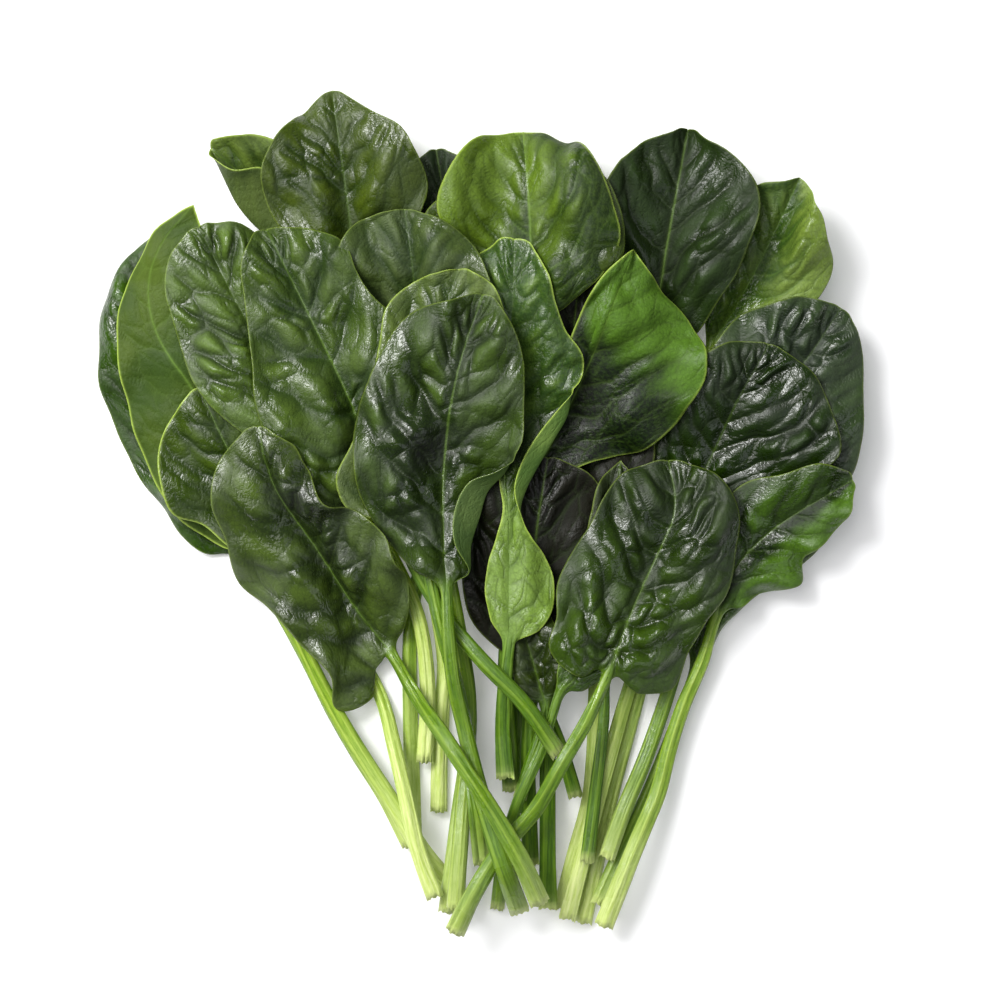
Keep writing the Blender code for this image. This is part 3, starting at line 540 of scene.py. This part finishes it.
class Heap:
    """The height of the leaves laid so far, cell by cell, which lifts the next leaf where it would cut in."""

    def __init__(self):
        self.cells = int(FIELD / CELL)
        self.top = np.full((self.cells, self.cells), -100.0)

    def cell(self, points):
        """Index of the cell below each point."""
        place = ((points[..., :2] + FIELD / 2) / CELL).astype(int)
        return tuple(np.moveaxis(np.clip(place, 0, self.cells - 1), -1, 0))

    def lay(self, leaf):
        """Lifts the leaf clear of the heap and of the floor, and adds it to the heap."""
        top = self.top
        near = np.maximum.reduce([np.roll(top, shift, axis) for axis in (0, 1) for shift in (-1, 0, 1)])
        need = near[self.cell(leaf.points)] + GAP + leaf.half - leaf.points[..., 2]
        ground = leaf.half + GROUND_GAP - leaf.points[..., 2]
        lift = np.maximum(np.clip(need, 0, MOST_LIFT), ground)
        around_here = range(-LIFT_REACH, LIFT_REACH + 1)
        for axis in (0, 1):
            lift = np.maximum.reduce([shifted(lift, i, axis) for i in around_here])
        for axis in (0, 1):
            lift = sum(shifted(lift, i, axis) for i in around_here) / len(around_here)
        leaf.points[..., 2] += lift
        highest = np.full_like(top, -100.0)
        np.maximum.at(highest, self.cell(leaf.points), leaf.points[..., 2] + leaf.half)
        beside = [np.roll(highest, shift, axis) for axis in (0, 1) for shift in (-1, 1)]
        filled = np.maximum.reduce(beside)
        highest = np.where(highest > -99, highest, filled)
        self.top = np.maximum(top, highest)


def shifted(grid, by, axis):
    """The grid moved by some places along an axis, with its edge values repeated."""
    index = np.clip(np.arange(grid.shape[axis]) - by, 0, grid.shape[axis] - 1)
    return np.take(grid, index, axis)


def leaf_mesh(leaf):
    """A closed skin: the top, the underside, a capped tip and a ragged, dished cut end."""
    points = leaf.points.copy()
    onward = unit(np.gradient(points, axis=0))
    torn = leaf.random.uniform(-TEETH, TEETH, COLUMNS)
    for waves, depth in NOTCHES:
        torn += depth * np.sin(waves * ACROSS + leaf.random.uniform(0, 6))
    points[0] += onward[0] * torn[:, None]
    offset = leaf.normals() * leaf.half[..., None]
    rings = around(points + offset, points - offset)
    rows, ring = rings.shape[:2]
    inward = onward[0, MIDDLE] * DISH_STEP
    centre = rings[0].mean(axis=0)
    inner = centre + (rings[0] - centre) * DISH_SIZE + inward
    core = inner.mean(axis=0) + inward
    vertices = np.concatenate([rings.reshape(-1, 3), inner, [core]])
    i = np.arange(ring)
    j = (i + 1) % ring
    row = np.arange(rows - 1)[:, None] * ring
    quads = np.stack([row + i, row + j, row + ring + j, row + ring + i], axis=-1).reshape(-1, 4)
    start = rows * ring
    ends = np.stack([start + i, start + j, j, i], axis=-1)
    fan = np.stack([start + i, np.full(ring, start + ring), start + j], axis=-1)
    last = start - ring
    cap = [[last + k, last + k + 1, last + ring - k - 1, last + ring - k] for k in range(1, COLUMNS - 2)]
    k = COLUMNS - 2
    cap_ends = [[last, last + 1, last + ring - 1], [last + k, last + k + 1, last + ring - k]]
    faces = quads.tolist() + ends.tolist() + fan.tolist() + cap + cap_ends
    mesh = bpy.data.meshes.new(leaf.node + "_look")
    mesh.from_pydata((vertices * MM).tolist(), [], faces)
    mesh.shade_smooth()
    for face in mesh.polygons[len(quads) : len(quads) + 2 * ring]:
        face.use_smooth = False
    return mesh


def around(top, under):
    """Values of the top and the underside, row by row, in the order of the mesh's vertices."""
    return np.concatenate([top, under[:, -2:0:-1]], axis=1)


def add_attribute(mesh, name, values, at_end):
    """A value for each vertex; the cut end's own vertices get at_end."""
    values = values.ravel()
    spare = np.full(len(mesh.vertices) - len(values), at_end)
    attribute = mesh.attributes.new(name, "FLOAT", "POINT")
    attribute.data.foreach_set("value", np.concatenate([values, spare]).astype(np.float32))


def add_fibre(leaf, mesh):
    """Coordinates that run along the stalk, for streaks that differ from leaf to leaf."""
    own = np.full_like(leaf.aside, leaf.random.uniform(0, 99))
    fibre = np.stack([leaf.aside, leaf.along * STREAK_STRETCH, own], axis=-1)
    fibre = around(fibre, fibre).reshape(-1, 3)
    spare = np.zeros((len(mesh.vertices) - len(fibre), 3))
    attribute = mesh.attributes.new("fibre", "FLOAT_VECTOR", "POINT")
    attribute.data.foreach_set("vector", np.concatenate([fibre, spare]).astype(np.float32).ravel())


def painted_shading_of(leaf):
    """Painted light and shade: how much lighter each place is than the leaf's own colours."""
    look = leaf.look
    fade, start, end = look["fade"]
    side = np.where(leaf.aside < 0, *look["sides"])
    on_blade = 1 - leaf.stalk
    tone = fade * (ease(start, end, leaf.share) - 0.5) + side * (leaf.out - 0.3) * on_blade
    for aside, share, radius, amount in look["patches"]:
        apart = np.hypot(leaf.aside - aside, leaf.along - share * leaf.along.max())
        tone = tone + amount * bell(apart, radius) * on_blade
    return tone


def leaf_attributes(leaf, mesh):
    """What the material needs to know of each place: its part of the leaf, its lines and its height."""
    stalk, look = leaf.stalk, leaf.look
    rib_line = bell(leaf.aside, RIB_LINE * (1.4 - 0.8 * leaf.share)) * (1 - 0.6 * leaf.share)
    laterals = bell(leaf.lateral, LATERAL_LINE) * (1 - 0.7 * leaf.out) * look["veins"]
    net = bell(leaf.net, NET_LINE) * 0.5 * look["veins"]
    vein = np.maximum(np.maximum(rib_line * look["rib"] * 0.75, laterals), net)
    # fine: the net's lines and the lateral veins' grooves, darkened with painted shade and bumped
    fine = np.maximum(0.5 * bell(leaf.fine_net, CELL_LINE), bell(leaf.net, NET_GROOVE_LINE))
    groove = bell(leaf.lateral, GROOVE_LINE) * (1 - 0.5 * leaf.out)
    groove = groove * np.clip(1 - 3 * look["veins"], 0, 1)
    fine = np.maximum(fine, 1.3 * groove) * (1 - np.clip(rib_line * 2, 0, 1))
    # edge: the pale margin line, partly a painted edge highlight
    edge = bell(leaf.to_margin, 0.3 + 0.25 * look["rim"]) * (1 - stalk) * look["rim"]
    # swell: the height, by which the material paints light on raised parts and shade in hollows
    swell = np.clip(0.5 + leaf.swelled / (1.6 + 1.2 * look["pucker"]), 0, 1)
    zero, one = np.zeros_like(stalk), np.ones_like(stalk)
    upper, lower = (one, zero) if look["underside_up"] else (zero, one)
    cut = np.exp((leaf.along[0, 0] - leaf.along) / CUT_REACH)
    down = np.clip(leaf.along / leaf.along[0, 0], 0, 1)
    ridges = 0.5 + leaf.ridges * 4
    # tone: painted light and shade along the leaf, across it and in round patches
    tone = painted_shading_of(leaf)
    for name, top, under, at_end in (
        ("stalk", stalk, stalk, 1),
        ("vein", vein, vein, 0),
        ("fine", fine, fine, 0),
        ("edge", edge, edge, 0),
        ("swell", swell, 1 - swell, 0.5),
        ("under", upper, lower, 0),
        ("tone", tone, tone, 0),
        ("cut", cut, cut, 1),
        ("down", down, down, 1),
        ("ridges", ridges, ridges, 0.5),
    ):
        add_attribute(mesh, name, around(top, under), at_end)
    add_fibre(leaf, mesh)


def linear(colour, tint=(1.0, 1.0, 1.0)):
    """An sRGB colour of 0 to 255 as linear values, times tint."""
    share = np.array(colour) / 255
    return (*np.where(share > 0.04045, ((share + 0.055) / 1.055) ** 2.4, share / 12.92) * tint, 1.0)


def between(pair, share):
    """A colour between the two of a pair."""
    first, second = np.array(pair[0]), np.array(pair[1])
    return linear(first + (second - first) * share)


class Nodes:
    """Short calls that add shader nodes to a material."""

    def __init__(self, name):
        self.material = bpy.data.materials.new(name)
        self.material.use_nodes = True
        self.tree = self.material.node_tree
        self.shader = self.tree.nodes["Principled BSDF"]

    def put(self, socket, value):
        """Links a node's output to the socket, or sets the socket's own value."""
        if isinstance(value, bpy.types.NodeSocket):
            self.tree.links.new(value, socket)
        else:
            socket.default_value = value

    def attribute(self, name, output="Fac"):
        node = self.tree.nodes.new("ShaderNodeAttribute")
        node.attribute_name = name
        return node.outputs[output]

    def math(self, operation, *values):
        node = self.tree.nodes.new("ShaderNodeMath")
        node.operation = operation
        for socket, value in zip(node.inputs, values):
            self.put(socket, value)
        return node.outputs[0]

    def plus(self, a, b):
        return self.math("ADD", a, b)

    def times(self, a, b):
        return self.math("MULTIPLY", a, b)

    def mix(self, factor, a, b):
        node = self.tree.nodes.new("ShaderNodeMix")
        node.data_type = "RGBA"
        self.put(node.inputs["Factor"], factor)
        self.put(node.inputs[6], a)
        self.put(node.inputs[7], b)
        return node.outputs[2]

    def ramp(self, value, low, high, to_low=0.0, to_high=1.0):
        """From to_low where the value is low to to_high where it is high, with smooth ends."""
        node = self.tree.nodes.new("ShaderNodeMapRange")
        node.interpolation_type = "SMOOTHSTEP"
        for socket, given in zip(node.inputs, (value, low, high, to_low, to_high)):
            self.put(socket, given)
        return node.outputs[0]

    def noise(self, scale, detail=3.0, vector=None, rough=0.5):
        node = self.tree.nodes.new("ShaderNodeTexNoise")
        node.inputs["Scale"].default_value = scale
        node.inputs["Detail"].default_value = detail
        node.inputs["Roughness"].default_value = rough
        if vector is not None:
            self.tree.links.new(vector, node.inputs["Vector"])
        return node.outputs["Fac"]

    def cracks(self, scale, vector):
        """Distance from the nearest border of scattered cells."""
        node = self.tree.nodes.new("ShaderNodeTexVoronoi")
        node.feature = "DISTANCE_TO_EDGE"
        node.inputs["Scale"].default_value = scale
        self.tree.links.new(vector, node.inputs["Vector"])
        return node.outputs["Distance"]


def blade_colour(nodes, look, at, place, pores):
    """The top side's colour by its height, with pores, grooves and veins, and the paler underside."""
    broad = nodes.noise(BROAD_SCALE, 3, place)
    dark, light = linear(look["dark"], look["tint"]), linear(look["light"], look["tint"])
    # height lightens the raised parts and darkens the hollows: painted light and shade
    lightness = nodes.plus(nodes.times(at["swell"], SWELL_WEIGHT), nodes.times(broad, BROAD_WEIGHT))
    # tone adds painted light and shade along the leaf, across it and in round patches
    lightness = nodes.plus(lightness, at["tone"])
    blade = nodes.mix(nodes.ramp(lightness, *LIGHTNESS), dark, light)
    blade = nodes.mix(nodes.ramp(lightness, *LIGHTNESS_OF_SHADE), blade, linear(SHADE))
    # painted shade in the pores and in the grooves of the net and the lateral veins
    blade = nodes.mix(nodes.times(pores, PORE_SHADE), blade, linear(CREASE_SHADE))
    blade = nodes.mix(nodes.times(at["fine"], GROOVE_SHADE), blade, linear(CREASE_SHADE))
    speckle = nodes.ramp(nodes.noise(SPECKLE_SCALE, 2, place), 0.35, 0.75)
    blade = nodes.mix(nodes.times(speckle, SPECKLE), blade, light)
    blade = nodes.mix(at["vein"], blade, linear(VEIN))
    pair = BELOW_WHEN_UP if look["underside_up"] else BELOW
    deep, pale = (linear(colour, look["under_tint"]) for colour in pair)
    below = nodes.mix(nodes.ramp(broad, 0.3, 0.7), deep, pale)
    below = nodes.mix(at["vein"], below, linear(VEIN_BELOW))
    blade = nodes.mix(nodes.times(at["under"], UNDER_COVER), blade, below)
    # the margin's pale line, partly a painted edge highlight
    return nodes.mix(at["edge"], blade, linear(MARGIN))


def stalk_colour(nodes, pale, at, streaks):
    """Streaks and lighter ridges along the stalk, which turns pale towards its cut end."""
    # pale is low for the stalks in the middle of the bunch, whose darker green is partly painted shade
    striped = nodes.ramp(streaks, *STREAKS)
    # darker between the raised streaks, partly painted shade
    stalk = nodes.mix(striped, between(STALK_HOLLOW, pale), between(STALK_STREAK, pale))
    # lighter on the ridges, partly a painted highlight
    ridges = nodes.ramp(at["ridges"], 0.45, 0.95, 0.0, RIDGE_LIGHT)
    stalk = nodes.mix(ridges, stalk, between(STALK_RIDGE, pale))
    faded = nodes.mix(striped, linear(STALK_END[0]), linear(STALK_END[1]))
    start = 0.9 - 0.7 * pale
    return nodes.mix(nodes.ramp(at["down"], start, start + STALK_FADE, 0.0, 0.8), stalk, faded)


def leaf_material(leaf):
    """One material for blade and stalk, which reads the mesh's attributes."""
    look = leaf.look
    nodes = Nodes("spinach_" + leaf.node)
    place = nodes.tree.nodes.new("ShaderNodeTexCoord").outputs["Object"]
    at = {name: nodes.attribute(name) for name in ATTRIBUTES}
    streaks = nodes.noise(STREAK_SCALE, 4, nodes.attribute("fibre", "Vector"), 0.65)
    # pores: fine cracks, bumped and darkened with painted shade
    pores = nodes.ramp(nodes.cracks(PORE_SCALE, place), 0.0, PORE_WIDTH, 1.0, 0.0)
    pores = nodes.times(pores, nodes.math("SUBTRACT", 1.0, at["stalk"]))
    blade = blade_colour(nodes, look, at, place, pores)
    colour = nodes.mix(at["stalk"], blade, stalk_colour(nodes, look["pale"], at, streaks))
    colour = nodes.mix(nodes.times(at["cut"], CUT_COVER), colour, linear(CUT_END))
    nodes.put(nodes.shader.inputs["Base Color"], colour)
    shine = GLOSS_GAIN * look["gloss"]
    patchy = nodes.noise(GLOSS_SCALE, 3, place)
    rough = nodes.ramp(patchy, *GLOSSY, SHINIEST - shine, DULLEST - shine)
    rough = nodes.math("MAXIMUM", rough, nodes.times(at["under"], UNDERSIDE_ROUGHNESS))
    nodes.put(nodes.shader.inputs["Roughness"], rough)
    nodes.put(nodes.shader.inputs["Specular IOR Level"], SPECULAR + SPECULAR_GAIN * look["gloss"])
    grain = nodes.plus(nodes.noise(GRAIN_SCALE, 2, place), nodes.times(at["fine"], FINE_BUMP))
    grain = nodes.math("SUBTRACT", grain, nodes.times(pores, PORE_BUMP))
    grain = nodes.plus(grain, nodes.times(nodes.times(streaks, at["stalk"]), STREAK_BUMP))
    bump = nodes.tree.nodes.new("ShaderNodeBump")
    bump.inputs["Distance"].default_value = BUMP_DEPTH
    bump.inputs["Strength"].default_value = BUMP_STRENGTH
    nodes.put(bump.inputs["Height"], grain)
    nodes.put(nodes.shader.inputs["Normal"], bump.outputs["Normal"])
    return nodes.material


def lay_leaves():
    """One piece for each leaf, from the lowest to the topmost."""
    heap = Heap()
    for number, (node, look) in enumerate(LOOKS.items()):
        leaf = Leaf(node, look, number)
        heap.lay(leaf)
        mesh = leaf_mesh(leaf)
        leaf_attributes(leaf, mesh)
        mesh.materials.append(leaf_material(leaf))
        piece = bpy.data.objects.new(node + "_look", mesh)
        bpy.context.scene.collection.objects.link(piece)
        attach(piece, "root")
        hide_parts(node)


def floor():
    """A pale floor that glows a little, so that the shadows stay soft."""
    mesh = bpy.data.meshes.new("floor")
    far = FLOOR_REACH
    corners = [(-far, -far, 0), (far, -far, 0), (far, far, 0), (-far, far, 0)]
    mesh.from_pydata(corners, [], [(0, 1, 2, 3)])
    nodes = Nodes("pale_floor")
    tone = nodes.mix(nodes.noise(FLOOR_PATTERN, 2), linear(FLOOR[0]), linear(FLOOR[1]))
    nodes.put(nodes.shader.inputs["Base Color"], tone)
    nodes.put(nodes.shader.inputs["Emission Color"], FLOOR_GLOW)
    nodes.put(nodes.shader.inputs["Emission Strength"], GLOW_STRENGTH)
    nodes.put(nodes.shader.inputs["Roughness"], FLOOR_ROUGHNESS)
    mesh.materials.append(nodes.material)
    thing = bpy.data.objects.new("floor", mesh)
    bpy.context.scene.collection.objects.link(thing)


def area_light(name, place, size, power, colour):
    """A round lamp that shines at the leaves."""
    data = bpy.data.lights.new(name, "AREA")
    data.shape = "DISK"
    data.size, data.energy, data.color = size, power, colour
    thing = bpy.data.objects.new(name, data)
    thing.location = place
    thing.rotation_euler = (-Vector(place)).to_track_quat("-Z", "Y").to_euler()
    bpy.context.scene.collection.objects.link(thing)


def studio():
    """The world's light and three lamps: a broad one, a smaller one for glints, and a weak one opposite."""
    world = bpy.data.worlds.new("studio")
    world.use_nodes = True
    background = world.node_tree.nodes["Background"]
    background.inputs["Color"].default_value = WORLD_COLOUR
    background.inputs["Strength"].default_value = WORLD_STRENGTH
    bpy.context.scene.world = world
    area_light("key", **KEY)
    area_light("accent", **ACCENT)
    area_light("fill", **FILL)
    scene = bpy.context.scene
    scene.view_settings.view_transform = "Standard"
    scene.view_settings.look = "None"


def camera():
    """Looks straight down."""
    data = bpy.data.cameras.new("camera")
    data.lens, data.sensor_width = LENS, SENSOR
    thing = bpy.data.objects.new("camera", data)
    thing.location = (*VIEW_CENTRE, VIEW_HEIGHT + VIEW_WIDTH * LENS / SENSOR)
    bpy.context.scene.collection.objects.link(thing)
    bpy.context.scene.camera = thing


lay_leaves()
floor()
studio()
camera()
